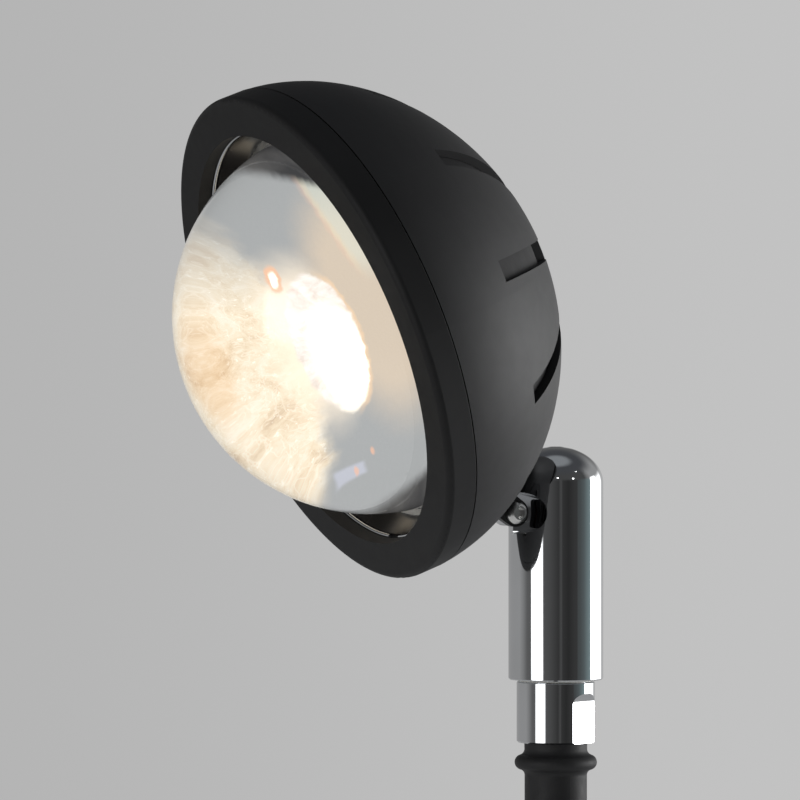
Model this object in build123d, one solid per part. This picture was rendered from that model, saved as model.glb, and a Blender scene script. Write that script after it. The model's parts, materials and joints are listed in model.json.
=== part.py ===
"""Small stem-mounted spotlight: a thick lens in a slotted bowl, on a tilting and turning knuckle.

Millimetres. +Z is up the stem, the lamp looks towards -Y, and X = 0 is the plane the head tilts in.
The origin is on the stem's axis, at the shoulder above the mounting thread.
The head is drawn in its own frame, with +Z pointing out of its back and +Y towards its underside,
from the centre of the front rim, and is then placed on the hinge pin.
"""
import math
import os

from build123d import *

# ---- stem
thread_r = 5.0
thread_length = 12.0
tube_r = 4.8
tube_bore_r = 3.0
sleeve_r = 6.25
sleeve_top_z = 49.05
bead_r = 8.25
bead_z = 45.1
spigot_r = 7.85
spigot_bottom_z = 49.1
spigot_top_z = 61.3
spigot_flat_distance = 7.0
spigot_flat_azimuth = 25.8
cutter_r = 3.0
tube_socket_depth = 8.0
lead_bore_r = 2.6

# ---- swivel between the stem and the knuckle
journal_r = 4.95
journal_top_z = 76.5
bush_bore_r = 5.0
bush_r = 6.5
bush_top_z = 75.0
groove_floor_r = 3.9
swivel_screw_z = 71.3
swivel_screw_azimuth = 135.0
dog_r = 1.0
groove_half_height = 1.2
stop_web_degrees = 9.0

# ---- knuckle
knuckle_r = 9.5
knuckle_bottom_z = 61.7
knuckle_shoulder_z = 101.0
knuckle_dome_height = 7.3
lead_channel_r = 3.0
lead_channel_top_z = 90.0
inlet_r = 2.3
inlet_z = 87.0
inlet_azimuth = 220.0

# ---- hinge
pivot_y = -9.9
pivot_z = 95.15
nose_down = 21.2
lug_left_x = -3.3
lug_face_x = -0.15
lug_r = 2.7
pocket_r = 4.15
pivot_screw_r = 1.5
pivot_head_r = 2.3
pivot_head_height = 1.5
ear_hole_r = 1.55
ear_inner_x = 0.25
ear_outer_x = 1.95
ear_r = 2.8
ear_root_r = 2.95
spring_washer_thickness = 0.4
plate_half_width = 10.5
plate_half_length = 5.8
plate_thickness = 1.6
arm_screw_spin = 9.8

# ---- bowl
rim_r = 50.3
band_depth = 4.43
dome_depth = 44.3
roundness = 1.91
wall = 1.7
seam_front_z = 6.2
seam_back_z = 6.4
seam_chamfer = 0.15
liner_gap = 0.1
liner_thickness = 0.8
liner_front_z = 18.1
slot_positions = 11
slot_width = 4.3
slot_start_z = 23.2
slot_end_r = 18.0
slot_phase = 2.2
foot_z = 25.95
pivot_gap = 5.25
lead_hole_z = 18.4
lead_grommet_r = 2.1

# ---- bezel and lens
bezel_bore_r = 42.6
bezel_edge_r = 1.3
bezel_thread_r = 48.15
bezel_thread_end_z = 10.2
bezel_spigot_r = 46.0
bezel_back_z = 15.9
lens_seat_z = 15.0
lens_seat_r = 38.2
lens_r = 39.0
lens_centre_z = 14.1
lens_flange_r = 41.8
lens_flange_z = 9.0
lens_back_z = 14.5
clip_wire_r = 0.45
clip_z = 3.4

# ---- optics and lamp
reflector_r = 37.0
reflector_depth = 21.9
reflector_front_z = 16.5
reflector_hole_r = 6.6
sheet = 0.8
flange_z = 15.95
baffle_r = 42.0
baffle_depth = 37.0
baffle_centre_z = 6.5
baffle_back_z = 41.0
baffle_flange_z = 16.8
baffle_flange_r = 45.2
baffle_hole_r = 7.2
holder_r = 6.2
holder_front_z = 37.4
holder_back_z = 44.6
holder_screw_x = 9.5
capsule_r = 4.6
capsule_front_z = 18.5
pinch_front_z = 33.0
filament_z = 26.0
lead_r = 0.65
lead_spacing = 1.4


# ---- helpers

def turned(points):
    """A solid turned about Z from an outline of (radius, height) points."""
    return revolve(Plane.XZ * make_face(Polyline(*points, close=True)), Axis.Z)


def turned_curves(*curves):
    """A solid turned about Z from an outline of joined curves."""
    return revolve(Plane.XZ * make_face(Curve() + list(curves)), Axis.Z)


def tube(outer, inner, bottom, top):
    """A plain ring or tube between two heights."""
    return turned([(inner, bottom), (outer, bottom), (outer, top), (inner, top)])


def rod(radius, bottom, top):
    return Pos(0, 0, (bottom + top) / 2) * Cylinder(radius, top - bottom)


def hexagon(across_flats, bottom, top):
    side = RegularPolygon(across_flats / 2, 6, major_radius=False)
    return Pos(0, 0, bottom) * extrude(side, top - bottom)


def dome_radius(z, radius, depth):
    """Radius of the bowl's family of curves at a distance behind the rim."""
    return radius * (1 - ((z - band_depth) / depth) ** roundness) ** (1 / roundness)


def quarter_curve(radius, depth, start_z, power):
    """Outline from (radius, start_z) round to the axis: 2 is an ellipse, and less is more pointed."""
    points = []
    for step in range(10):
        angle = math.radians(9 * step)
        across, back = (math.cos(angle) ** (2 / power), math.sin(angle) ** (2 / power))
        points.append((radius * across, start_z + depth * back))
    points.append((0, start_z + depth))
    return Spline(*points, tangents=[(0, 1), (-1, 0)])


def dome_solid(radius, depth):
    """The full bowl shape: a straight band, then a rounded back."""
    return turned_curves(
        Polyline((0, band_depth + depth), (0, 0), (radius, 0), (radius, band_depth)),
        quarter_curve(radius, depth, band_depth, roundness),
    )


def dome_normal(z):
    """Outward normal of the bowl's outer surface, as (radial, backward)."""
    across = (dome_radius(z, rim_r, dome_depth) / rim_r) ** (roundness - 1) / rim_r
    back = ((z - band_depth) / dome_depth) ** (roundness - 1) / dome_depth
    size = math.hypot(across, back)
    return across / size, back / size


def dome_place(z, spin=0.0):
    """A place on the bowl's underside: +Z out of the surface, turned about the head's axis."""
    radial, back = dome_normal(z)
    spot = Plane(origin=(0, dome_radius(z, rim_r, dome_depth), z), x_dir=(1, 0, 0), z_dir=(0, radial, back))
    return Rot(0, 0, spin) * spot.location


foot_r = dome_radius(foot_z, rim_r, dome_depth)
foot_normal = dome_normal(foot_z)
pivot_in_head = (foot_r + pivot_gap * foot_normal[0], foot_z + pivot_gap * foot_normal[1])
pivot_place = Pos(0, pivot_y, pivot_z)
head_place = pivot_place * Rot(nose_down - 90, 0, 0) * Pos(0, -pivot_in_head[0], -pivot_in_head[1])
across_knuckle = Rot(0, 90, 0)
inlet_place = Rot(0, 0, inlet_azimuth) * Pos(0, 0, inlet_z) * Rot(0, 90, 0)
swivel_screw_place = Rot(0, 0, swivel_screw_azimuth) * Pos(0, 0, swivel_screw_z) * Rot(0, 90, 0)


def on_head(shape):
    return head_place * shape


def on_pivot(shape):
    """Lays a shape drawn along Z onto the hinge pin, with +Z becoming +X."""
    return pivot_place * across_knuckle * shape


# ---- stem

def stem_tube():
    """Steel tube: mounting thread below the shoulder, plain end in the spigot above."""
    end_z = spigot_bottom_z + tube_socket_depth - 0.2
    return turned([
        (tube_bore_r, -thread_length), (thread_r - 0.6, -thread_length), (thread_r, -thread_length + 0.6),
        (thread_r, 0), (tube_r, 0), (tube_r, end_z), (tube_bore_r, end_z),
    ])


def stem_sleeve():
    """Moulded sleeve over the tube, with a rolled bead below the spigot."""
    bore = tube_r + 0.05
    below = Polyline((bore, sleeve_top_z), (bore, 0), (sleeve_r, 0), (sleeve_r, bead_z - 2.5))
    lower = ThreePointArc((sleeve_r, bead_z - 2.5), (sleeve_r + 0.35, bead_z - 1.75), (7.1, bead_z - 1.45))
    bead = ThreePointArc((7.1, bead_z - 1.45), (bead_r, bead_z), (7.25, bead_z + 1.4))
    neck = ThreePointArc((7.25, bead_z + 1.4), (6.5, bead_z + 1.95), (6.3, bead_z + 2.9))
    above = Polyline((6.3, bead_z + 2.9), (6.3, sleeve_top_z), (bore, sleeve_top_z))
    return turned_curves(below, lower, bead, neck, above)


def tube_edge_bush():
    """Plastic liner that keeps the supply lead off the tube's cut end."""
    return tube(tube_bore_r - 0.02, 2.2, -thread_length, -thread_length + 4)


def spigot():
    """Turned spigot with two spanner flats, and the journal the knuckle turns on."""
    socket_z = spigot_bottom_z + tube_socket_depth
    body = turned([
        (tube_r + 0.05, spigot_bottom_z), (spigot_r - 0.3, spigot_bottom_z),
        (spigot_r, spigot_bottom_z + 0.3), (spigot_r, spigot_top_z - 0.2), (spigot_r - 0.2, spigot_top_z),
        (journal_r, spigot_top_z), (journal_r, journal_top_z - 0.5), (journal_r - 0.5, journal_top_z),
        (lead_bore_r, journal_top_z), (lead_bore_r, socket_z), (tube_r + 0.05, socket_z),
    ])
    cutter_z = spigot_top_z - 4.3
    flat_height = cutter_z - spigot_bottom_z + 1
    for side in (0, 180):
        slab = Pos(spigot_flat_distance + cutter_r, 0, cutter_z - flat_height / 2)
        cut = slab * Box(2 * cutter_r, 20, flat_height)
        cut += Pos(spigot_flat_distance + cutter_r, 0, cutter_z) * Rot(90, 0, 0) * Cylinder(cutter_r, 20)
        body -= Rot(0, 0, spigot_flat_azimuth + side) * cut
    low = swivel_screw_z - groove_half_height
    groove = tube(journal_r + 1, groove_floor_r, low, low + 2 * groove_half_height)
    web = Pos(0, 0, swivel_screw_z) * Rot(0, 0, swivel_screw_azimuth + 180 - stop_web_degrees / 2)
    keep = web * revolve(
        Plane.XZ * Pos(4.5, 0) * Rectangle(3, 2 * groove_half_height + 1), Axis.Z, stop_web_degrees
    )
    return body - (groove - keep)


def swivel_washer():
    """Nylon washer under the knuckle."""
    return tube(7.5, journal_r + 0.1, spigot_top_z + 0.01, knuckle_bottom_z - 0.01)


# ---- knuckle

def knuckle_body():
    """Capsule-shaped body with the hinge lug at its front."""
    side = Polyline((0, knuckle_shoulder_z + knuckle_dome_height), (0, knuckle_bottom_z),
                    (knuckle_r - 0.25, knuckle_bottom_z), (knuckle_r, knuckle_bottom_z + 0.25),
                    (knuckle_r, knuckle_shoulder_z))
    body = turned_curves(side, quarter_curve(knuckle_r, knuckle_dome_height, knuckle_shoulder_z, 2))
    body -= on_pivot(rod(pocket_r, lug_face_x, 12))
    middle_x = (lug_left_x + lug_face_x) / 2
    web = Pos(0, 2.5, middle_x) * Box(2 * lug_r, 5, lug_face_x - lug_left_x)
    body += on_pivot(rod(lug_r, lug_left_x, lug_face_x) + web)
    body -= on_pivot(rod(pivot_screw_r, lug_left_x - 0.3, 12))
    body -= rod(bush_r, knuckle_bottom_z - 1, bush_top_z)
    body -= rod(journal_r + 0.6, bush_top_z - 1, journal_top_z + 0.8)
    body -= rod(lead_channel_r, journal_top_z, lead_channel_top_z)
    body -= inlet_place * rod(inlet_r, 1, knuckle_r + 1)
    return body - swivel_screw_space(1.55)


def swivel_bush():
    """Brass bush pressed into the knuckle, round the journal."""
    ring = tube(bush_r, bush_bore_r, knuckle_bottom_z, bush_top_z)
    return ring - swivel_screw_space(1.55)


def swivel_screw_space(radius):
    return swivel_screw_place * rod(radius, groove_floor_r + 0.3, knuckle_r + 1)


def swivel_screw():
    """Dog-point screw: keeps the knuckle on the journal and stops it at each end of the groove."""
    screw = rod(1.5, bush_bore_r + 0.25, knuckle_r - 0.3)
    screw += rod(dog_r, groove_floor_r + 0.2, bush_bore_r + 0.3)
    screw -= hexagon(1.5, knuckle_r - 1.8, knuckle_r)
    return swivel_screw_place * screw


def inlet_grommet():
    """Rubber liner of the lead's way out of the knuckle, flush with its surface."""
    liner = inlet_place * (rod(inlet_r - 0.02, 4.2, knuckle_r + 1) - rod(1.5, 3, knuckle_r + 2))
    return liner & rod(knuckle_r - 0.05, inlet_z - 5, inlet_z + 5)


# ---- hinge

def hinge_arm():
    """Steel arm: a plate inside the bowl and one ear that comes out through its wall."""
    outer = dome_solid(rim_r - wall - 0.05, dome_depth - wall - 0.05)
    inner = dome_solid(rim_r - wall - plate_thickness, dome_depth - wall - plate_thickness)
    window = dome_place(foot_z) * Box(2 * plate_half_width, 2 * plate_half_length, 16)
    arm = (outer - inner) & window
    root_depth = 2.6
    root_y, root_z = (foot_r - root_depth * foot_normal[0], foot_z - root_depth * foot_normal[1])
    along_y, along_z = (-foot_normal[1], foot_normal[0])
    tip_y, tip_z = pivot_in_head
    outline = make_face(Polyline(
        (tip_y + ear_r * along_y, tip_z + ear_r * along_z),
        (root_y + ear_root_r * along_y, root_z + ear_root_r * along_z),
        (root_y - ear_root_r * along_y, root_z - ear_root_r * along_z),
        (tip_y - ear_r * along_y, tip_z - ear_r * along_z), close=True))
    outline += Pos(tip_y, tip_z) * Circle(ear_r)
    outline -= Pos(tip_y, tip_z) * Circle(ear_hole_r)
    arm += extrude(Plane.YZ.offset(ear_inner_x) * outline, ear_outer_x - ear_inner_x)
    for spin in (arm_screw_spin, -arm_screw_spin):
        arm -= dome_place(foot_z, spin) * rod(1.5, -8, 1)
    return on_head(arm)


def arm_screws():
    """Two countersunk screws that hold the arm's plate in the bowl."""
    head = turned([(0, -0.1), (2.7, -0.1), (2.7, -0.3), (1.48, -1.5), (1.48, -4.8), (0, -4.8)])
    head -= hexagon(2.0, -1.2, 0)
    return [on_head(dome_place(foot_z, spin) * head) for spin in (arm_screw_spin, -arm_screw_spin)]


def pivot_screw():
    """Button-head cross screw, the hinge pin: screwed into the knuckle's lug."""
    edge = 0.35
    crown = turned_curves(
        Polyline((0, pivot_head_height), (0, 0), (pivot_head_r, 0), (pivot_head_r, edge)),
        ThreePointArc((pivot_head_r, edge), (2.0, 1.05), (1.4, pivot_head_height)),
        Line((1.4, pivot_head_height), (0, pivot_head_height)),
    )
    crown -= hexagon(2.0, 0.5, 3)
    head_x = ear_outer_x + spring_washer_thickness + 0.04
    shank = rod(pivot_screw_r - 0.01, lug_left_x + 0.1, head_x + 0.1)
    return on_pivot(Pos(0, 0, head_x) * crown + shank)


def spring_washer():
    start = ear_outer_x + 0.02
    ring = tube(pivot_head_r, pivot_screw_r + 0.1, start, start + spring_washer_thickness)
    return on_pivot(ring - Pos(2.0, 0, start) * Box(2.0, 0.4, 2))


def friction_washer():
    """Fibre washer between the lug and the ear: it holds the tilt."""
    return on_pivot(tube(lug_r - 0.1, ear_hole_r + 0.02, lug_face_x + 0.02, ear_inner_x - 0.02))


# ---- bowl, bezel and lens

def bowl():
    """Slotted black bowl; its eleventh slot position is taken by the hinge."""
    shell = dome_solid(rim_r, dome_depth) - dome_solid(rim_r - wall, dome_depth - wall)
    shell -= rod(60, -1, seam_back_z)
    shell -= rod(bezel_thread_r + 0.05, 0, bezel_thread_end_z + 0.3)
    pitch = 360 / slot_positions
    for place in range(1, slot_positions):
        turn = 90 + slot_phase + pitch * place
        length = rim_r - slot_end_r
        cut = Pos(slot_end_r + length / 2, 0, slot_start_z + 20) * Box(length, slot_width, 40)
        shell -= Rot(0, 0, turn) * cut
    ear_way = Pos((ear_inner_x + ear_outer_x) / 2, 0, 0) * Box(
        ear_outer_x - ear_inner_x + 0.3, 2 * ear_root_r + 0.4, 8)
    shell -= dome_place(foot_z) * ear_way
    seat = turned([(0, 0.2), (2.85, 0.2), (2.85, -0.3), (1.6, -1.55), (1.6, -3), (0, -3)])
    for spin in (arm_screw_spin, -arm_screw_spin):
        shell -= dome_place(foot_z, spin) * seat
    shell -= dome_place(lead_hole_z) * rod(lead_grommet_r, -4, 4)
    return on_head(shell)


def slot_liner():
    """Thin black shell close behind the slots, so that no light leaves through them."""
    offset = wall + liner_gap
    shell = dome_solid(rim_r - offset, dome_depth - offset)
    shell -= dome_solid(rim_r - offset - liner_thickness, dome_depth - offset - liner_thickness)
    shell -= rod(60, -1, liner_front_z)
    shell -= dome_place(foot_z) * Box(2 * plate_half_width + 1, 2 * plate_half_length + 1, 16)
    return on_head(shell - dome_place(lead_hole_z) * rod(5, -8, 4))


def lead_grommet():
    """Rubber grommet with a flange on each side of the bowl's wall."""
    ring = tube(lead_grommet_r - 0.02, 1.45, -1.9, 0.7)
    ring += tube(2.9, 1.45, 0.1, 0.7)
    return on_head(dome_place(lead_hole_z) * ring)


def bezel():
    """Front ring: screws into the bowl and carries the lens."""
    bore = Polyline((rim_r - bezel_edge_r, 0), (bezel_bore_r, 0), (bezel_bore_r, lens_seat_z),
                    (lens_seat_r, lens_seat_z), (lens_seat_r, bezel_back_z), (bezel_spigot_r, bezel_back_z),
                    (bezel_spigot_r, bezel_thread_end_z + 1), (bezel_thread_r, bezel_thread_end_z),
                    (bezel_thread_r, seam_front_z), (rim_r - seam_chamfer, seam_front_z),
                    (rim_r, seam_front_z - seam_chamfer), (rim_r, bezel_edge_r))
    slope = bezel_edge_r * (1 - math.sqrt(0.5))
    edge = ThreePointArc((rim_r, bezel_edge_r), (rim_r - slope, slope), (rim_r - bezel_edge_r, 0))
    ring = turned_curves(bore, edge)
    ring -= Pos(0, 0, clip_z) * Torus(bezel_bore_r, clip_wire_r + 0.05)
    return on_head(ring)


def lens():
    """Solid plano-convex glass: close to a half ball, with a flange round its edge."""
    apex_z = lens_centre_z - lens_r
    flange_angle = math.asin((lens_centre_z - lens_flange_z) / lens_r)
    start_r = lens_r * math.cos(flange_angle)
    mid = (flange_angle + math.pi / 2) / 2
    mid_point = (lens_r * math.cos(mid), lens_centre_z - lens_r * math.sin(mid))
    return on_head(turned_curves(
        ThreePointArc((0, apex_z), mid_point, (start_r, lens_flange_z)),
        Polyline((start_r, lens_flange_z), (lens_flange_r, lens_flange_z), (lens_flange_r, lens_back_z),
                 (0, lens_back_z), (0, apex_z)),
    ))


def lens_gasket():
    return on_head(tube(lens_flange_r, lens_seat_r + 0.3, lens_back_z + 0.02, lens_seat_z - 0.02))


def lens_retaining_ring():
    """Polished dark ring with a sloping face, on the lens's flange."""
    back = lens_flange_z - 0.03
    return on_head(turned([(42.1, 3.95), (42.5, 3.95), (42.5, back), (40.1, back), (40.1, 8.4)]))


def lens_clip():
    """Split spring wire in the bezel's groove, which holds the retaining ring."""
    wire = revolve(Plane.XZ * Pos(bezel_bore_r - 0.1, clip_z) * Circle(clip_wire_r), Axis.Z, 354)
    return on_head(Rot(0, 0, 93) * wire)


# ---- optics and lamp

def spheroid(radius, depth, centre_z):
    """The back half of an ellipsoid, turned about Z."""
    return turned_curves(
        Polyline((0, centre_z + depth), (0, centre_z), (radius, centre_z)),
        quarter_curve(radius, depth, centre_z, 2),
    )


def reflector():
    """Ellipsoidal reflector with a flange at its mouth and a hole for the lamp."""
    outer = spheroid(reflector_r + sheet, reflector_depth + sheet, reflector_front_z)
    cup = outer - spheroid(reflector_r, reflector_depth, reflector_front_z)
    cup += tube(40.0, reflector_r, flange_z, flange_z + sheet)
    return on_head(cup - rod(reflector_hole_r, 30, 60))


def heat_baffle():
    """Black inner shell behind the slots; its flat back carries the lampholder."""
    outer = spheroid(baffle_r, baffle_depth, baffle_centre_z) & rod(60, baffle_flange_z, baffle_back_z)
    inner = spheroid(baffle_r - sheet, baffle_depth - sheet, baffle_centre_z)
    shell = outer - (inner & rod(60, 0, baffle_back_z - sheet))
    shell += tube(baffle_flange_r, baffle_r - 2.6, baffle_flange_z, baffle_flange_z + sheet)
    shell -= rod(baffle_hole_r, 30, 60)
    for x in (holder_screw_x, -holder_screw_x):
        shell -= Pos(x, 0, 0) * rod(1.35, 30, 60)
    notch = Pos(0, baffle_flange_r, baffle_flange_z) * Box(9, 9, 4)
    return on_head(shell - notch)


def lamp_holder():
    """Ceramic lampholder with two fixing ears."""
    body = rod(holder_r, holder_front_z, holder_back_z)
    ears = Pos(0, 0, baffle_back_z + 1.05) * Box(26, 7, 2.0)
    body += ears & rod(13, 30, 60)
    for x in (holder_screw_x, -holder_screw_x):
        body -= Pos(x, 0, 0) * rod(1.35, 30, 60)
    for x in (2.0, -2.0):
        body -= Pos(x, 0, 0) * rod(0.5, 30, holder_front_z + 5.2)
    return on_head(body)


def holder_screws():
    top = baffle_back_z + 2.07
    screw = rod(2.2, top, top + 1.0) + rod(1.25, 39.0, top + 0.1)
    screw -= Pos(0, 0, top + 1.0) * Box(6, 0.6, 1.0)
    return [on_head(Pos(x, 0, 0) * screw) for x in (holder_screw_x, -holder_screw_x)]


def holder_nuts():
    nut = hexagon(4.0, 39.1, 40.15) - rod(1.26, 30, 50)
    return [on_head(Pos(x, 0, 0) * nut) for x in (holder_screw_x, -holder_screw_x)]


def lamp_capsule():
    """Glass capsule: a round-ended tube with a flat pinch at its base."""
    def bulb(radius, front, back):
        nose = Pos(0, 0, front + radius) * Sphere(radius)
        return nose + rod(radius, front + radius, back)
    glass = bulb(capsule_r, capsule_front_z, pinch_front_z) - bulb(
        capsule_r - 0.8, capsule_front_z + 0.8, pinch_front_z - 1.2)
    glass += Pos(0, 0, (pinch_front_z + holder_front_z) / 2 - 0.1) * Box(
        8.4, 3.4, holder_front_z - pinch_front_z + 0.1)
    for x in (2.0, -2.0):
        glass -= Pos(x, 0, 0) * rod(0.36, pinch_front_z - 3, holder_front_z + 1)
    return on_head(glass)


def lamp_filament():
    """Coil across the lamp, on two support wires."""
    coil = Pos(0, 0, filament_z) * Rot(0, 90, 0) * rod(0.7, -2.3, 2.3)
    for x in (2.0, -2.0):
        coil += Pos(x, 0, 0) * rod(0.25, filament_z, pinch_front_z - 1.25)
    return on_head(coil)


def lamp_pins():
    pin = rod(0.35, pinch_front_z - 1.2, holder_front_z + 4.5)
    return [on_head(Pos(x, 0, 0) * pin) for x in (2.0, -2.0)]


def lamp_leads():
    """Two insulated leads: lampholder, round the baffle, out through the bowl's grommet."""
    hole_y = dome_radius(lead_hole_z, rim_r, dome_depth)
    out_y, out_z = dome_normal(lead_hole_z)
    wires = []
    for x in (lead_spacing / 2, -lead_spacing / 2):
        route = [(x, holder_r + 0.05, 42.9), (x, 14.3, 42.4), (x, 22.5, 39.1), (x, 30.0, 33.6),
                 (x, 36.9, 26.0), (x, hole_y - 4 * out_y, lead_hole_z - 4 * out_z),
                 (x, hole_y + 0.6 * out_y, lead_hole_z + 0.6 * out_z)]
        path = FilletPolyline(*route, radius=[3, 10, 10, 12, 3])
        section = Plane(origin=path @ 0, z_dir=path % 0) * Circle(lead_r)
        wires.append(on_head(sweep(section, path=path)))
    return wires


# ---- every node, one file each

nodes = [
    stem_tube, stem_sleeve, tube_edge_bush, spigot, swivel_washer,
    knuckle_body, swivel_bush, swivel_screw, inlet_grommet,
    pivot_screw, spring_washer, friction_washer, hinge_arm, arm_screws,
    bowl, slot_liner, lead_grommet, bezel, lens, lens_gasket, lens_retaining_ring, lens_clip,
    reflector, heat_baffle, lamp_holder, holder_screws, holder_nuts,
    lamp_capsule, lamp_filament, lamp_pins, lamp_leads,
]

os.makedirs("parts", exist_ok=True)
for make in nodes:
    shape = make()
    if isinstance(shape, list):
        shape = Compound(children=shape)
    export_step(shape, f"parts/{make.__name__}.step")
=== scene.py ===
"""Looks for the stem spotlight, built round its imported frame. Metres, in the frame of the CAD model."""
import json
import math

import bmesh
import bpy
from mathutils import Matrix, Vector, noise


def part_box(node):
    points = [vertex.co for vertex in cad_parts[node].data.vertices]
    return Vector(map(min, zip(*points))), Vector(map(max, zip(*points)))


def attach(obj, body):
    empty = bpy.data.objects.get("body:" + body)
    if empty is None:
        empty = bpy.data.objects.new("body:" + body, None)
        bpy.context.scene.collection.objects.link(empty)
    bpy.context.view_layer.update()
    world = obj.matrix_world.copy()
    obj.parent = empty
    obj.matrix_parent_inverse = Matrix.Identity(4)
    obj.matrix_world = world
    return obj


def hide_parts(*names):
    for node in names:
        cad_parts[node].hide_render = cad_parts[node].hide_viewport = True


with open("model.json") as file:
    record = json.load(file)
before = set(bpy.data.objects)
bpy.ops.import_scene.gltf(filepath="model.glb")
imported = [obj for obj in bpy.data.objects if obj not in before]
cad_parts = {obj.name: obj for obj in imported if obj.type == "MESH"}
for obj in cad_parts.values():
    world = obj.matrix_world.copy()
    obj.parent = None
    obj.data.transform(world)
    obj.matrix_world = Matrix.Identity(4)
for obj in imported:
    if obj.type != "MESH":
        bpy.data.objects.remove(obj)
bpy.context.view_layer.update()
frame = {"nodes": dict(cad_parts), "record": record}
NODES = frame["nodes"]

MM = 0.001
NOSE_DOWN = 21.2
GASKET_DEPTH = 14.75 * MM

# The photograph's view is level. At azimuth 0 it would look along +Y, with +X to its right.
PHOTO_AZIMUTH = 64.87
CAMERA_DISTANCE = 928.6 * MM
CAMERA_ASIDE = 31.2 * MM
CAMERA_HEIGHT = 117.6 * MM
FOCAL_LENGTH = 208.6
CLIP_START = 10 * MM
PHOTO_RIGHT = Vector((math.cos(math.radians(PHOTO_AZIMUTH)), math.sin(math.radians(PHOTO_AZIMUTH)), 0))

# ---- the head's own frame: +Z out of its back, +Y towards its underside, from the rim's centre

HEAD_TURN = math.radians(NOSE_DOWN - 90)
turn = Matrix.Rotation(HEAD_TURN, 4, "X")
back_axis = (turn @ Vector((0, 0, 1))).normalized()
low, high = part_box("lens_gasket")
RIM_CENTRE = (low + high) / 2 - back_axis * GASKET_DEPTH
HEAD = Matrix.Translation(RIM_CENTRE) @ turn


# ---- helpers for materials

class Nodes:
    """Short calls for the nodes of a material or of the world."""

    def __init__(self, tree):
        self.tree = tree

    def node(self, kind, **settings):
        made = self.tree.nodes.new(kind)
        for name, value in settings.items():
            setattr(made, name, value)
        return made

    def link(self, source, target):
        self.tree.links.new(source, target)

    def ramp(self, source, *stops):
        """A colour ramp, from pairs of a position and a colour or grey level."""
        made = self.node("ShaderNodeValToRGB")
        steps = made.color_ramp.elements
        while len(steps) < len(stops):
            steps.new(0.5)
        for step, (where, colour) in zip(steps, stops):
            step.position = where
            step.color = (*colour, 1) if isinstance(colour, tuple) else (colour, colour, colour, 1)
        self.link(source, made.inputs["Fac"])
        return made.outputs["Color"]

    def span(self, source, low, high, from_low=0.0, from_high=1.0, shape="LINEAR"):
        """Maps one range of values to another."""
        made = self.node("ShaderNodeMapRange", interpolation_type=shape)
        made.inputs["From Min"].default_value = from_low
        made.inputs["From Max"].default_value = from_high
        made.inputs["To Min"].default_value = low
        made.inputs["To Max"].default_value = high
        self.link(source, made.inputs["Value"])
        return made.outputs["Result"]

    def fade(self, source, start, end):
        """0 to 1 between two values, with soft ends; end may be below start."""
        low, high = (0.0, 1.0) if start < end else (1.0, 0.0)
        return self.span(source, low, high, min(start, end), max(start, end), "SMOOTHSTEP")

    def maths(self, operation, *values):
        """A math node on one or two numbers or sockets."""
        made = self.node("ShaderNodeMath", operation=operation)
        for socket, value in zip(made.inputs, values):
            if isinstance(value, (int, float)):
                socket.default_value = value
            else:
                self.link(value, socket)
        return made.outputs["Value"]

    def blend(self, share, first, second):
        """A colour between two, each a colour or a socket."""
        made = self.node("ShaderNodeMix", data_type="RGBA")
        self.link(share, made.inputs["Factor"])
        for slot_name, value in (("A", first), ("B", second)):
            if isinstance(value, tuple):
                made.inputs[slot_name].default_value = (*value, 1)
            else:
                self.link(value, made.inputs[slot_name])
        return made.outputs["Result"]

    def vector(self, operation, first, second, output="Vector"):
        made = self.node("ShaderNodeVectorMath", operation=operation)
        self.link(first, made.inputs[0])
        if isinstance(second, tuple):
            made.inputs[1].default_value = second
        else:
            self.link(second, made.inputs[1])
        return made.outputs[output]

    def split(self, place):
        made = self.node("ShaderNodeSeparateXYZ")
        self.link(place, made.inputs[0])
        return made.outputs["X"], made.outputs["Y"], made.outputs["Z"]


MOTTLE_DARK = 0.3
MOTTLE_LIGHT = 0.7


class Shader(Nodes):
    """A node material with one Principled shader, and short calls for what feeds it."""

    def __init__(self, name):
        self.material = bpy.data.materials.new(name)
        self.material.use_nodes = True
        super().__init__(self.material.node_tree)
        self.shader = self.tree.nodes["Principled BSDF"]
        self.place = self.node("ShaderNodeTexCoord").outputs["Object"]

    def set(self, **values):
        for name, value in values.items():
            self.shader.inputs[name.replace("_", " ")].default_value = value
        return self

    def feed(self, name, source):
        self.link(source, self.shader.inputs[name])

    def noise(self, scale, detail=2.0, roughness=0.5, place=None, distortion=0.0, output="Fac"):
        made = self.node("ShaderNodeTexNoise")
        made.inputs["Scale"].default_value = scale
        made.inputs["Detail"].default_value = detail
        made.inputs["Roughness"].default_value = roughness
        made.inputs["Distortion"].default_value = distortion
        self.link(place or self.place, made.inputs["Vector"])
        return made.outputs[output]

    def mottle(self, pattern, dark, light):
        """A base colour that drifts between two tones with a pattern."""
        self.feed("Base Color", self.ramp(pattern, (MOTTLE_DARK, dark), (MOTTLE_LIGHT, light)))

    def distance(self, place, point):
        return self.vector("DISTANCE", place, point, "Value")

    def join(self, across, down):
        made = self.node("ShaderNodeCombineXYZ")
        self.link(across, made.inputs["X"])
        self.link(down, made.inputs["Y"])
        return made.outputs["Vector"]

    def bump(self, height, distance, strength):
        made = self.node("ShaderNodeBump")
        made.inputs["Distance"].default_value = distance
        made.inputs["Strength"].default_value = strength
        self.link(height, made.inputs["Height"])
        self.feed("Normal", made.outputs["Normal"])


# ---- materials. Noise scales are per metre, bump distances are metres, and colours are linear.

def satin_black(name, dark, light, gloss):
    """Black enamel with a very fine orange-peel texture."""
    s = Shader(name).set(Specular_IOR_Level=gloss)
    s.mottle(s.noise(60, 3), dark, light)
    s.feed("Roughness", s.span(s.noise(380, 3), 0.57, 0.65))
    s.bump(s.noise(3200, 2), 0.00003, 0.35)
    return s.material


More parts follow.
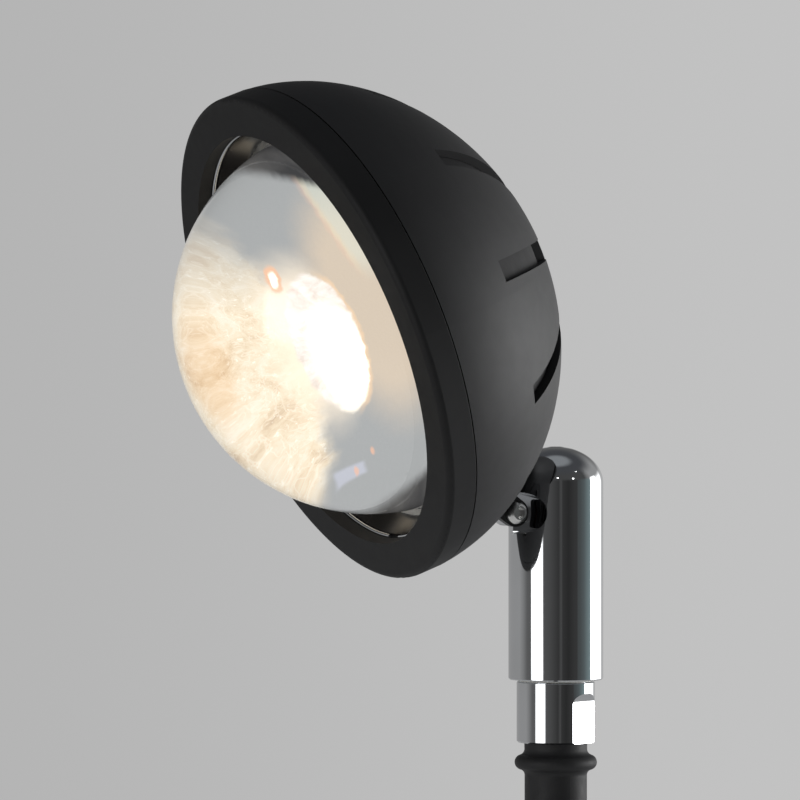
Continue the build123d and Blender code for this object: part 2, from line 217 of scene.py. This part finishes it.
def chrome():
    """Bright chrome plate with faint polishing marks."""
    s = Shader("chrome").set(Metallic=1.0)
    s.mottle(s.noise(45, 3), (0.57, 0.58, 0.59), (0.62, 0.63, 0.645))
    s.feed("Roughness", s.span(s.noise(900, 4), 0.035, 0.075, 0.35, 0.75))
    s.bump(s.noise(150, 2), 0.00002, 0.25)
    return s.material


def sleeve_black():
    """Moulded black plastic with a fine grain."""
    s = Shader("sleeve_black").set(Specular_IOR_Level=0.35)
    s.mottle(s.noise(120, 3), (0.012, 0.012, 0.013), (0.020, 0.020, 0.021))
    s.feed("Roughness", s.span(s.noise(500, 3), 0.52, 0.68))
    s.bump(s.noise(2400, 3), 0.00005, 0.4)
    return s.material


def plain(name, dark, light, rough, metallic=0.0, grain=700.0, **values):
    """A finish with a slight mottle of colour and roughness, and a fine grain."""
    s = Shader(name).set(Metallic=metallic, **values)
    s.mottle(s.noise(grain / 6, 3), dark, light)
    s.feed("Roughness", s.span(s.noise(grain / 2, 3), rough - 0.06, rough + 0.06))
    s.bump(s.noise(grain * 3, 2), 0.00004, 0.4)
    return s.material


def brushed(name, dark, light, rough):
    """Metal with fine turned lines, one above another along the stem's axis."""
    s = Shader(name).set(Metallic=1.0)
    stretch = s.node("ShaderNodeMapping")
    stretch.inputs["Scale"].default_value = (20, 20, 2600)
    s.link(s.place, stretch.inputs["Vector"])
    lines = s.noise(1.0, 3, place=stretch.outputs["Vector"])
    s.mottle(lines, dark, light)
    s.feed("Roughness", s.span(lines, rough - 0.08, rough + 0.08))
    s.bump(lines, 0.00003, 0.3)
    return s.material


def lens_glass():
    """Polished glass, with the faintest change of smoothness."""
    s = Shader("lens_glass").set(Base_Color=(0.985, 0.995, 0.992, 1), IOR=1.5, Transmission_Weight=1.0)
    s.feed("Roughness", s.span(s.noise(300, 2), 0.0, 0.012, 0.4, 0.8))
    return s.material


def lamp_glass():
    """Thin quartz of the lamp's capsule."""
    s = Shader("lamp_glass").set(Base_Color=(1, 0.99, 0.96, 1), IOR=1.46, Transmission_Weight=1.0)
    s.feed("Roughness", s.span(s.noise(200, 2), 0.0, 0.03))
    return s.material


def dark_ring():
    """Polished black ring."""
    s = Shader("dark_ring").set(Specular_IOR_Level=0.28)
    s.mottle(s.noise(90, 2), (0.014, 0.013, 0.012), (0.022, 0.020, 0.019))
    s.feed("Roughness", s.span(s.noise(400, 2), 0.14, 0.22))
    return s.material


# ---- the light in the lens, painted on its back
# Places and lengths are in millimetres from the head's axis: X across, Y towards the underside.

MIRROR_X = 2.0
CREASE_EDGE = 33.6
CREASE_ACROSS = 5.2
CREASE_DOWN = 2.1
RAGGED_SWAY = 5.0
CALM_SWAY = 1.6
CRUMPLE_CENTRE = (-37, 6, 0)
WARM_CENTRE = (2, -2, 0)
HALO_CENTRE = (-16.5, 2.4, 0)
HOT_CENTRE = (-12.9, 2.8, 0)
HOT_CORE = (-11.2, 4.8, 0)
SPARK = (-20.4, -4.2, 0)
DISPERSION_SLOPE = 0.75
# Where the painted reflection of a window pane sits, and its lean, and the two painted orange glints.
REFLECTED_PANE_X = -17.4
REFLECTED_PANE_Y = 16.4
REFLECTED_PANE_SLOPE = 0.12
ORANGE_GLINTS = ((-16.4, 16.6, 0), (-11.8, 15.8, 0))
CALM_CENTRE = (0, 1.6, 0)
CALM_SQUEEZE = 0.5

# Colours of the painted light, highlights, glints and reflection on the lens's back.
CALM_GREY = (0.425, 0.437, 0.44)
CALM_WARM = (0.73, 0.615, 0.49)
FOLD_LIGHT = (1.24, 1.14, 0.96)
GLINT_LIGHT = (1.30, 1.22, 1.05)
HALO_LIGHT = (1.22, 1.05, 0.83)
HOT_RIM = (1.0, 0.72, 0.48)
HOT_WHITE = (1.6, 1.5, 1.26)
SPARK_RIM = (1.0, 0.62, 0.42)
SPARK_WHITE = (1.6, 1.4, 1.2)
REFLECTED_PANE_BLUE = (0.72, 0.74, 0.88)
ORANGE_GLINT_COLOUR = (1.0, 0.56, 0.38)


class LensBack:
    """Where a point of the lens's back is, plainly and along the creases in its light."""

    def __init__(self, s):
        into_head = s.node("ShaderNodeMapping", vector_type="TEXTURE")
        into_head.inputs["Location"].default_value = HEAD.translation
        into_head.inputs["Rotation"].default_value = (HEAD_TURN, 0, 0)
        s.link(s.place, into_head.inputs["Vector"])
        self.flat = s.vector("MULTIPLY", into_head.outputs["Vector"], (1 / MM, 1 / MM, 0))
        self.across, self.down, _ = s.split(self.flat)
        outward = s.maths("ABSOLUTE", s.maths("SUBTRACT", self.across, MIRROR_X))
        mirrored = s.join(s.maths("SUBTRACT", MIRROR_X, outward), self.down)

        # The glass squeezes the sheet more and more towards its edge, so the creases are stretched there.
        inset = s.maths("SQRT", s.maths("MAXIMUM", s.maths("SUBTRACT", CREASE_EDGE, outward), 0.0))
        self.even = s.join(s.maths("MULTIPLY", inset, CREASE_ACROSS),
                           s.maths("MULTIPLY", self.down, CREASE_DOWN))
        ragged = s.noise(0.22, 4, place=self.even, output="Color")
        sway = s.vector("SUBTRACT", ragged, (0.5, 0.5, 0.5))
        self.ragged = s.vector("ADD", mirrored, s.vector("MULTIPLY", sway, (RAGGED_SWAY, RAGGED_SWAY, 0)))
        self.calm = s.vector("ADD", self.flat, s.vector("MULTIPLY", sway, (CALM_SWAY, CALM_SWAY, 0)))
        self.creases = s.noise(0.19, 10, 0.74, place=self.even, distortion=0.5)


def fold_highlights(s, back, scale, width, offset):
    """Thin crooked lines of painted highlight, as where a foil is folded."""
    where = s.vector("ADD", back.even, (offset, 2 * offset, 0))
    level = s.maths("SUBTRACT", s.noise(scale, 3, 0.6, place=where, distortion=0.9), 0.5)
    return s.fade(s.maths("ABSOLUTE", level), width, 0.0)


def calm_light(s, back):
    """Calm grey, warmer round the middle."""
    return s.blend(s.fade(s.distance(back.calm, WARM_CENTRE), 20, 10), CALM_GREY, CALM_WARM)


def with_crumpled_light(s, back, lit):
    """Warm light like crumpled foil on the outer sides, with folds and glints, dimmer above."""
    crumpled = s.ramp(
        back.creases, (0.32, (0.74, 0.56, 0.39)), (0.42, (0.95, 0.77, 0.55)), (0.50, (1.04, 0.89, 0.67)),
        (0.62, (1.12, 1.01, 0.83)), (0.76, (0.90, 0.76, 0.57)),
    )
    # Painted highlight lines along the folds, lightening the crumpled light.
    lines = s.maths("MAXIMUM", fold_highlights(s, back, 0.13, 0.016, 11), fold_highlights(s, back, 0.30, 0.022, 47))
    crumpled = s.blend(s.maths("MULTIPLY", lines, 0.45), crumpled, FOLD_LIGHT)
    glints = s.fade(s.noise(0.9, 3, 0.7, place=back.even), 0.60, 0.68)
    crumpled = s.blend(s.maths("MULTIPLY", glints, 0.7), crumpled, GLINT_LIGHT)
    share = s.maths("MULTIPLY", s.fade(s.distance(back.ragged, CRUMPLE_CENTRE), 20.0, 16.0),
                    s.span(back.down, 0.30, 1.0, -8.0, -0.5))
    return s.blend(share, lit, crumpled)


def with_hot_patch(s, back, lit):
    """The lamp's hot patch in its halo, ragged at the left, with a thin orange rim and a spark beside it."""
    halo = s.fade(s.distance(back.calm, HALO_CENTRE), 11.5, 5.0)
    lit = s.blend(s.maths("MULTIPLY", halo, 0.85), lit, HALO_LIGHT)
    from_hot = s.distance(back.calm, HOT_CENTRE)
    rim = s.maths("MULTIPLY", s.fade(from_hot, 9.3, 8.5), s.fade(back.across, -13.0, -8.0))
    lit = s.blend(s.maths("MULTIPLY", rim, 0.75), lit, HOT_RIM)
    pink = s.ramp(
        back.creases, (0.34, (0.84, 0.68, 0.58)), (0.47, (1.0, 0.90, 0.81)), (0.60, (1.15, 1.10, 1.03)),
    )
    core = s.fade(s.distance(back.calm, HOT_CORE), 8.2, 5.0)
    lit = s.blend(s.fade(from_hot, 8.5, 7.7), lit, s.blend(core, pink, HOT_WHITE))
    from_spark = s.distance(back.calm, SPARK)
    lit = s.blend(s.fade(from_spark, 1.7, 1.1), lit, SPARK_RIM)
    return s.blend(s.fade(from_spark, 1.0, 0.6), lit, SPARK_WHITE)


def with_dispersed_edge(s, back, lit):
    """The edge at the upper right, where the light splits into orange, yellow and green."""
    slant = s.maths("SUBTRACT", back.across, s.maths("MULTIPLY", back.down, DISPERSION_SLOPE))
    colours = s.ramp(
        s.span(slant, 0, 1, 4.0, 9.0),
        (0.25, (0.94, 0.62, 0.46)), (0.55, (0.95, 0.84, 0.62)), (0.9, (0.82, 0.86, 0.74)),
    )
    share = s.maths("MULTIPLY", s.fade(back.down, -4.5, -9.5), s.fade(slant, 4.0, 6.5))
    return s.blend(s.maths("MULTIPLY", share, 0.5), lit, colours)


def with_window_reflection(s, back, lit):
    """The small painted reflection of a window low down, with two painted orange glints."""
    beside = s.maths("SUBTRACT", back.across, REFLECTED_PANE_X)
    below = s.maths("SUBTRACT", back.down, REFLECTED_PANE_Y)
    lean = s.maths("SUBTRACT", below, s.maths("MULTIPLY", beside, REFLECTED_PANE_SLOPE))
    reflected_pane = s.maths("MULTIPLY", s.fade(s.maths("ABSOLUTE", beside), 3.4, 2.4),
                   s.fade(s.maths("ABSOLUTE", lean), 0.75, 0.35))
    lit = s.blend(s.maths("MULTIPLY", reflected_pane, 0.5), lit, REFLECTED_PANE_BLUE)
    for orange_glint in ORANGE_GLINTS:
        share = s.fade(s.distance(back.flat, orange_glint), 0.6, 0.2)
        lit = s.blend(s.maths("MULTIPLY", share, 0.7), lit, ORANGE_GLINT_COLOUR)
    return lit


def with_edge_shade_and_limb_light(s, back, lit):
    """Painted shade in dim streaks round the outside, and painted light on a brown limb low at the left,
    where the light turns furthest.
    """
    squeezed = s.join(s.maths("MULTIPLY", back.across, CALM_SQUEEZE), back.down)
    shade_streaks = s.ramp(
        s.noise(0.12, 2, place=squeezed), (0.35, (0.05, 0.05, 0.052)), (0.65, (0.17, 0.165, 0.16)),
    )
    lit = s.blend(s.fade(s.distance(squeezed, CALM_CENTRE), 19.6, 21.6), lit, shade_streaks)
    limb = s.maths("MULTIPLY", s.fade(back.across, -28.9, -30.9), s.fade(back.down, -4.0, 4.0))
    limb_light = s.ramp(
        back.creases, (0.36, (0.88, 0.57, 0.30)), (0.50, (1.0, 0.69, 0.41)), (0.64, (1.1, 0.88, 0.64)),
    )
    return s.blend(s.maths("MULTIPLY", limb, 0.55), lit, limb_light)


def lens_glow():
    """The lit lens's painted light, given off by its pebbled back: a hot patch, crumpled warm light, and
    calm grey.
    """
    s = Shader("lens_glow").set(Base_Color=(0.02, 0.02, 0.02, 1), Roughness=0.8, Specular_IOR_Level=0.0)
    back = LensBack(s)
    lit = calm_light(s, back)
    for add in (with_crumpled_light, with_hot_patch, with_dispersed_edge, with_window_reflection, with_edge_shade_and_limb_light):
        lit = add(s, back, lit)
    # Emission paints the light of the lamp as seen through the lens.
    s.feed("Emission Color", lit)
    s.set(Emission_Strength=1.0)
    return s.material


def bright_reflector():
    """Bright aluminium with an uneven polish."""
    s = Shader("reflector").set(Metallic=1.0)
    s.mottle(s.noise(220, 3), (0.80, 0.78, 0.74), (0.90, 0.88, 0.85))
    s.feed("Roughness", s.span(s.noise(500, 2), 0.12, 0.24))
    return s.material


def glowing_filament():
    """White-hot tungsten."""
    s = Shader("filament").set(Base_Color=(1, 0.8, 0.5, 1))
    s.set(Emission_Color=(1.0, 0.72, 0.40, 1), Emission_Strength=60.0)
    s.feed("Roughness", s.span(s.noise(900, 2), 0.4, 0.6))
    return s.material


# ---- one material for each slot of the record, and one for the light in the lens

MATERIALS = {
    "satin_black": satin_black("satin_black", (0.0088, 0.0088, 0.0097), (0.0128, 0.0128, 0.0140), 0.47),
    "chrome": chrome(),
    "sleeve_black": sleeve_black(),
    "stem_steel": brushed("stem_steel", (0.30, 0.30, 0.31), (0.44, 0.44, 0.45), 0.36),
    "nylon": plain("nylon", (0.62, 0.61, 0.57), (0.74, 0.73, 0.69), 0.5, Subsurface_Weight=0.1),
    "fibre": plain("fibre", (0.22, 0.07, 0.05), (0.33, 0.12, 0.08), 0.75, grain=1400),
    "brass": brushed("brass", (0.66, 0.46, 0.20), (0.78, 0.58, 0.30), 0.3),
    "rubber": plain("rubber", (0.014, 0.014, 0.014), (0.026, 0.026, 0.026), 0.72),
    "arm_black": plain("arm_black", (0.010, 0.010, 0.011), (0.018, 0.018, 0.019), 0.42),
    "zinc_steel": plain("zinc_steel", (0.50, 0.50, 0.47), (0.66, 0.66, 0.63), 0.32, metallic=1.0),
    "black_steel": plain("black_steel", (0.008, 0.008, 0.009), (0.014, 0.014, 0.015), 0.6,
                         Specular_IOR_Level=0.25),
    "lens_glass": lens_glass(),
    "lens_glow": lens_glow(),
    "dark_ring": dark_ring(),
    "reflector": bright_reflector(),
    "ceramic": plain("ceramic", (0.80, 0.78, 0.72), (0.90, 0.88, 0.83), 0.55),
    "lamp_glass": lamp_glass(),
    "filament": glowing_filament(),
    "silicone": plain("silicone", (0.54, 0.52, 0.48), (0.66, 0.64, 0.60), 0.6),
    "lead_white": plain("lead_white", (0.74, 0.73, 0.69), (0.84, 0.83, 0.79), 0.45),
}
for part in frame["record"]["subparts"]:
    piece = NODES[part["node"]]
    piece.data.materials.clear()
    piece.data.materials.append(MATERIALS[part["material_slot"]])

# The bezel is darker and duller than the bowl, and the cross screw is lighter than the knuckle.
NODES["bezel"].data.materials[0] = satin_black(
    "bezel_black", (0.0062, 0.0062, 0.0067), (0.0092, 0.0092, 0.0098), 0.36)
NODES["pivot_screw"].data.materials[0] = plain(
    "bright_screw", (0.74, 0.74, 0.73), (0.84, 0.84, 0.82), 0.24, metallic=1.0)


# ---- pieces built in place of CAD nodes

ON_AXIS = 1e-7


def new_piece(name, mesh, material, body):
    """An object for a mesh, with the given material. It rides on a body."""
    piece = bpy.data.objects.new(name, mesh)
    bpy.context.scene.collection.objects.link(piece)
    mesh.materials.append(material)
    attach(piece, body)
    return piece


def turned_piece(name, outline, material, steps):
    """A smooth surface of revolution about the head's axis, from (radius, depth) points in metres."""
    mesh = bpy.data.meshes.new(name)
    shape = bmesh.new()
    rings = []
    for radius, depth in outline:
        if radius < ON_AXIS:
            rings.append([shape.verts.new(HEAD @ Vector((0, 0, depth)))])
            continue
        rings.append([
            shape.verts.new(HEAD @ Vector((radius * math.cos(a), radius * math.sin(a), depth)))
            for a in (2 * math.pi * step / steps for step in range(steps))
        ])
    for first, second in zip(rings, rings[1:] + rings[:1]):
        for step in range(steps):
            after = (step + 1) % steps
            corners = [first[step % len(first)], first[after % len(first)],
                       second[after % len(second)], second[step % len(second)]]
            unique = list(dict.fromkeys(corners))
            if len(unique) > 2:
                shape.faces.new(unique)
    bmesh.ops.recalc_face_normals(shape, faces=shape.faces)
    shape.to_mesh(mesh)
    shape.free()
    mesh.shade_smooth()
    return new_piece(name, mesh, material, "head")


LENS_RADIUS = 39.0 * MM
LENS_CENTRE = 14.1 * MM
FLANGE_RADIUS = 41.8 * MM
FLANGE_DEPTH = 9.0 * MM
LENS_BACK = 14.5 * MM
EDGE_ROUND = 0.35 * MM
DOME_FOOT = 0.4 * MM
FOOT_DROP = 0.01 * MM
DOME_STEPS = 72
ROUND_STEPS = 4


def lens_outline():
    """Half of the lens's section, from the apex out to the flange and back along the flat."""
    edge_angle = math.asin((LENS_CENTRE - FLANGE_DEPTH) / LENS_RADIUS)
    points = [(0, LENS_CENTRE - LENS_RADIUS)]
    for step in range(1, DOME_STEPS + 1):
        angle = math.pi / 2 + (edge_angle - math.pi / 2) * step / DOME_STEPS
        points.append((LENS_RADIUS * math.cos(angle), LENS_CENTRE - LENS_RADIUS * math.sin(angle)))
    rim, bend = (FLANGE_RADIUS, EDGE_ROUND)
    quarter = [math.pi / 2 / ROUND_STEPS * step for step in range(ROUND_STEPS + 1)]
    points += [(points[-1][0] + DOME_FOOT, FLANGE_DEPTH + FOOT_DROP), (rim - bend, FLANGE_DEPTH)]
    points += [(rim - bend * (1 - math.sin(a)), FLANGE_DEPTH + bend * (1 - math.cos(a)))
               for a in quarter[1:]]
    points += [(rim - bend * (1 - math.cos(a)), LENS_BACK - bend * (1 - math.sin(a))) for a in quarter]
    return points + [(rim - 3 * bend, LENS_BACK), (0.5 * rim, LENS_BACK), (0, LENS_BACK)]


def lens_solid():
    """The lens as smooth solid glass, on the CAD lens's own outline."""
    glass = turned_piece("lens_solid", lens_outline(), MATERIALS["lens_glass"], steps=256)
    glass.visible_shadow = False
    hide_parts("lens")


SHEET_RADIUS = 38.0 * MM
SHEET_FRONT = 14.2 * MM
SHEET_BACK = LENS_BACK - 0.06 * MM
SHEET_RINGS = 150
SHEET_SLACK = 0.01 * MM
PEBBLE_HEIGHT = 0.22 * MM
PEBBLES_PER_MM = 0.85
PEBBLE_FALL = 2.2


def pebbled_painted_glow_sheet():
    """The lens's stippled back, as a thin sheet inside the glass with a relief of shallow pebbles. It gives
    off the lens's painted light as emission, though it is no lamp.
    """
    outline = [(0, SHEET_FRONT)]
    outline += [(SHEET_RADIUS * ring / SHEET_RINGS, SHEET_FRONT) for ring in range(1, SHEET_RINGS + 1)]
    outline += [(SHEET_RADIUS, SHEET_BACK), (0, SHEET_BACK)]
    sheet = turned_piece("lens_pebbled_painted_glow_sheet", outline, MATERIALS["lens_glow"], steps=420)
    out_of_head = HEAD.inverted()
    for vertex in sheet.data.vertices:
        spot = out_of_head @ vertex.co
        if spot.z > SHEET_FRONT + SHEET_SLACK:
            continue
        flat = Vector((spot.x, spot.y, 0)) / MM
        near = noise.voronoi(flat * PEBBLES_PER_MM)[0]
        spot.z -= PEBBLE_HEIGHT * max(0.0, 1.0 - near[0] * near[0] * PEBBLE_FALL)
        vertex.co = HEAD @ spot


THREAD_RADIUS = 5.0 * MM
THREAD_PITCH = 1.0 * MM
THREAD_LENGTH = 12.0 * MM
THREAD_DEPTH = 0.5 * MM
TUBE_RADIUS = 4.8 * MM
BORE_RADIUS = 3.0 * MM
LEAD_IN = 0.8 * THREAD_PITCH
GROOVE_STEEPNESS = 2.5
SHARP_ANGLE = math.radians(40)
STEM_STEPS = 72
ROWS_PER_TURN = 12


def thread_radius(z, angle):
    """The thread's surface: a helical groove, chamfered at the stem's end, that fades at the shoulder."""
    lead_in = min(1.0, (z + THREAD_LENGTH) / LEAD_IN)
    run_out = min(1.0, max(0.0, -z / THREAD_PITCH))
    phase = (z / THREAD_PITCH - angle / (2 * math.pi)) % 1.0
    groove = max(0.0, 1.0 - abs(phase - 0.5) * GROOVE_STEEPNESS)
    crest = THREAD_RADIUS - THREAD_DEPTH * (1 - lead_in)
    return min(crest, THREAD_RADIUS - THREAD_DEPTH * groove * run_out)


def threaded_stem():
    """The stem's tube with its mounting thread cut as a real helix."""
    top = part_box("stem_tube")[1].z
    angles = [2 * math.pi * step / STEM_STEPS for step in range(STEM_STEPS)]
    shape = bmesh.new()

    def ring(radii, z):
        return [shape.verts.new((r * math.cos(a), r * math.sin(a), z)) for r, a in zip(radii, angles)]

    rows = round(THREAD_LENGTH / THREAD_PITCH * ROWS_PER_TURN)
    rings = [ring([BORE_RADIUS] * STEM_STEPS, -THREAD_LENGTH)]
    for row in range(rows + 1):
        z = -THREAD_LENGTH + THREAD_LENGTH * row / rows
        rings.append(ring([thread_radius(z, angle) for angle in angles], z))
    for radius, z in ((TUBE_RADIUS, 0.0), (TUBE_RADIUS, top), (BORE_RADIUS, top)):
        rings.append(ring([radius] * STEM_STEPS, z))
    for first, second in zip(rings, rings[1:] + rings[:1]):
        for step in range(STEM_STEPS):
            after = (step + 1) % STEM_STEPS
            shape.faces.new((first[step], first[after], second[after], second[step]))
    bmesh.ops.recalc_face_normals(shape, faces=shape.faces)
    mesh = bpy.data.meshes.new("threaded_stem")
    shape.to_mesh(mesh)
    shape.free()
    mesh.shade_smooth()
    mesh.set_sharp_from_angle(angle=SHARP_ANGLE)
    piece = new_piece("threaded_stem", mesh, MATERIALS["stem_steel"], "stem")
    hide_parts("stem_tube")


# ---- studio

# What the metal reflects round the horizon, as (azimuth in degrees, brightness or colour): two windows, a
# bright wall and a darker side.
BELT = (
    (-180, 0.38), (-125, 0.40), (-113, 0.30), (-101, 0.16), (-90, 0.14), (-86, 3.4), (-61, 3.4), (-57, 0.12),
    (-43, 0.10), (-20, 0.050), (-14, 0.10), (-10, 0.05), (4, 0.035), (24, 0.06), (46, (0.13, 0.155, 0.16)),
    (60, (0.23, 0.30, 0.31)), (67, (0.30, 0.38, 0.40)), (72, 14.0), (83, 14.0), (89, 2.4), (112, 2.2),
    (120, 0.60), (150, 0.45), (180, 0.38),
)
ABOVE_BELT = (
    (-180, 0.14), (-120, 0.14), (-60, 0.12), (-20, 0.08), (50, 0.09), (70, 0.42), (112, 0.42), (140, 0.14),
)
# Heights or depths, as the rise of a direction's unit vector, between which one light gives way to the next.
BELT_EDGE = (0.14, 0.32)
RING_EDGE = (0.45, 0.80)
TOP_EDGE = (0.88, 0.97)
HIGH_SKY = (0.08, 0.083, 0.09)
TOP_SKY = (0.30, 0.315, 0.33)
BACKDROP_SHADE = (0.455, 0.542)
BACKDROP_REACH = (-0.12, 0.10)


class World(Nodes):
    """The world's nodes, with short calls for the light that comes from each direction."""

    def __init__(self):
        world = bpy.data.worlds.new("studio")
        bpy.context.scene.world = world
        world.use_nodes = True
        world.node_tree.nodes.clear()
        super().__init__(world.node_tree)
        self.direction = self.node("ShaderNodeTexCoord").outputs["Generated"]
        x, y, z = self.split(self.direction)
        self.azimuth = self.span(self.maths("ARCTAN2", y, x), 0.0, 1.0, -math.pi, math.pi)
        self.rise = self.maths("ABSOLUTE", z)

    def around(self, stops):
        """A light that changes with azimuth."""
        return self.ramp(self.azimuth, *(((degrees + 180) / 360, value) for degrees, value in stops))

    def up_to(self, edge, within, beyond):
        """One light nearer the horizon and another beyond a height or depth."""
        return self.blend(self.fade(self.rise, *edge), within, beyond)

    def background(self, colour):
        made = self.node("ShaderNodeBackground")
        self.link(colour, made.inputs["Color"])
        return made.outputs[0]


def studio_world():
    """Plain grey where it is seen straight or through glass, and the belt and sky for everything else."""
    w = World()
    sky = w.up_to(RING_EDGE, w.around(ABOVE_BELT), HIGH_SKY)
    sky = w.up_to(TOP_EDGE, sky, TOP_SKY)
    lit = w.background(w.up_to(BELT_EDGE, w.around(BELT), sky))
    side = w.vector("DOT_PRODUCT", w.direction, tuple(PHOTO_RIGHT), "Value")
    seen = w.background(w.span(side, *BACKDROP_SHADE, *BACKDROP_REACH, "SMOOTHSTEP"))
    path = w.node("ShaderNodeLightPath")
    plain_view = w.maths("MAXIMUM", path.outputs["Is Camera Ray"], path.outputs["Is Transmission Ray"])
    choose = w.node("ShaderNodeMixShader")
    w.link(plain_view, choose.inputs["Fac"])
    w.link(lit, choose.inputs[1])
    w.link(seen, choose.inputs[2])
    w.link(choose.outputs[0], w.node("ShaderNodeOutputWorld").inputs["Surface"])


FLOOR_RADIUS = 0.5
FLOOR_GAP = 0.2 * MM
FLOOR_FADE = (0.18, 0.48)
FLOOR_LIFT = 0.24


def floor():
    """A pale disc under the stem that fades out into the backdrop, with a little light of its own."""
    mesh = bpy.data.meshes.new("floor")
    shape = bmesh.new()
    bmesh.ops.create_circle(shape, cap_ends=True, segments=128, radius=FLOOR_RADIUS)
    shape.to_mesh(mesh)
    shape.free()
    disc = bpy.data.objects.new("floor", mesh)
    bpy.context.scene.collection.objects.link(disc)
    disc.location = (0, 0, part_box("stem_tube")[0].z - FLOOR_GAP)
    s = Shader("floor_paper").set(Roughness=0.9, Emission_Color=(1, 1, 1, 1), Emission_Strength=FLOOR_LIFT)
    s.mottle(s.noise(9, 3), 0.78, 0.82)
    s.feed("Alpha", s.span(s.distance(s.place, (0, 0, 0)), 1.0, 0.0, *FLOOR_FADE))
    mesh.materials.append(s.material)


ROOM_LAMPS = ((35, 41), (-22, 22), (18, 18))
LAMP_DISTANCE = 1.2
LAMP_MIDDLE = Vector((0, 0, 0.1))
LAMP_WATTS = 0.8
LAMP_RADIUS = 0.05


def lamps():
    """Small lamps of the room, at azimuths and heights in degrees, that dot the knuckle's crown."""
    for azimuth, elevation in ROOM_LAMPS:
        turned, raised = (math.radians(azimuth), math.radians(elevation))
        data = bpy.data.lights.new("room_lamp", "POINT")
        data.energy = LAMP_WATTS
        data.shadow_soft_size = LAMP_RADIUS
        lamp = bpy.data.objects.new("room_lamp", data)
        lamp.location = LAMP_MIDDLE + LAMP_DISTANCE * Vector(
            (math.cos(turned) * math.cos(raised), math.sin(turned) * math.cos(raised), math.sin(raised)))
        bpy.context.scene.collection.objects.link(lamp)


def camera():
    """The photograph's view: level, a long lens, aimed beside the stem."""
    ahead = Vector((-PHOTO_RIGHT.y, PHOTO_RIGHT.x, 0))
    data = bpy.data.cameras.new("camera")
    data.lens = FOCAL_LENGTH
    data.clip_start = CLIP_START
    made = bpy.data.objects.new("camera", data)
    made.location = -ahead * CAMERA_DISTANCE - PHOTO_RIGHT * CAMERA_ASIDE + Vector((0, 0, CAMERA_HEIGHT))
    made.rotation_mode = "QUATERNION"
    made.rotation_quaternion = ahead.to_track_quat("-Z", "Y")
    bpy.context.scene.collection.objects.link(made)
    bpy.context.scene.camera = made


threaded_stem()
lens_solid()
pebbled_painted_glow_sheet()
studio_world()
floor()
lamps()
camera()
bpy.context.scene.view_settings.view_transform = "Standard"
